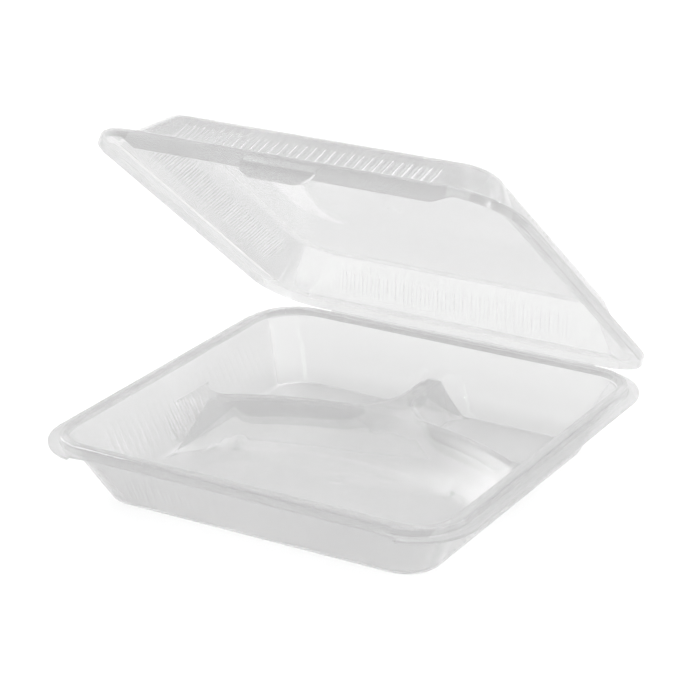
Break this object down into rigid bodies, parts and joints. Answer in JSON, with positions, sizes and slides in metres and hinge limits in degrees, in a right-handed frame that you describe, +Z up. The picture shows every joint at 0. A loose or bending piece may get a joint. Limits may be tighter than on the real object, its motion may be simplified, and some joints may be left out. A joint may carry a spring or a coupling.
{
  "type": "hinged takeout container",
  "caption": "Clear moulded food container with a lid on a living hinge, a large front compartment and two smaller rear ones",
  "frame": {"origin": "centre of the tray's flat underside, where it stands on the table", "axes": "+Z is up, +X is to the right of someone facing the thumb tab, +Y points to the back, where the lid is hinged"},
  "size_m": [0.2286, 0.23, 0.1782],
  "materials": {
    "tray_clear": "clear moulded polypropylene, glossy",
    "lid_clear": "clear moulded polypropylene, glossy"
  },
  "bodies": {
    "tray": {"tray": "tray_clear"},
    "lid": {"lid": "lid_clear"}
  },
  "joints": [
    {"name": "lid_hinge", "type": "hinge", "parent": "tray", "child": "lid", "pos_m": [0, 0.1149, 0.03135], "axis": [-1, 0, 0], "range_deg": [-39, 141]}
  ]
}
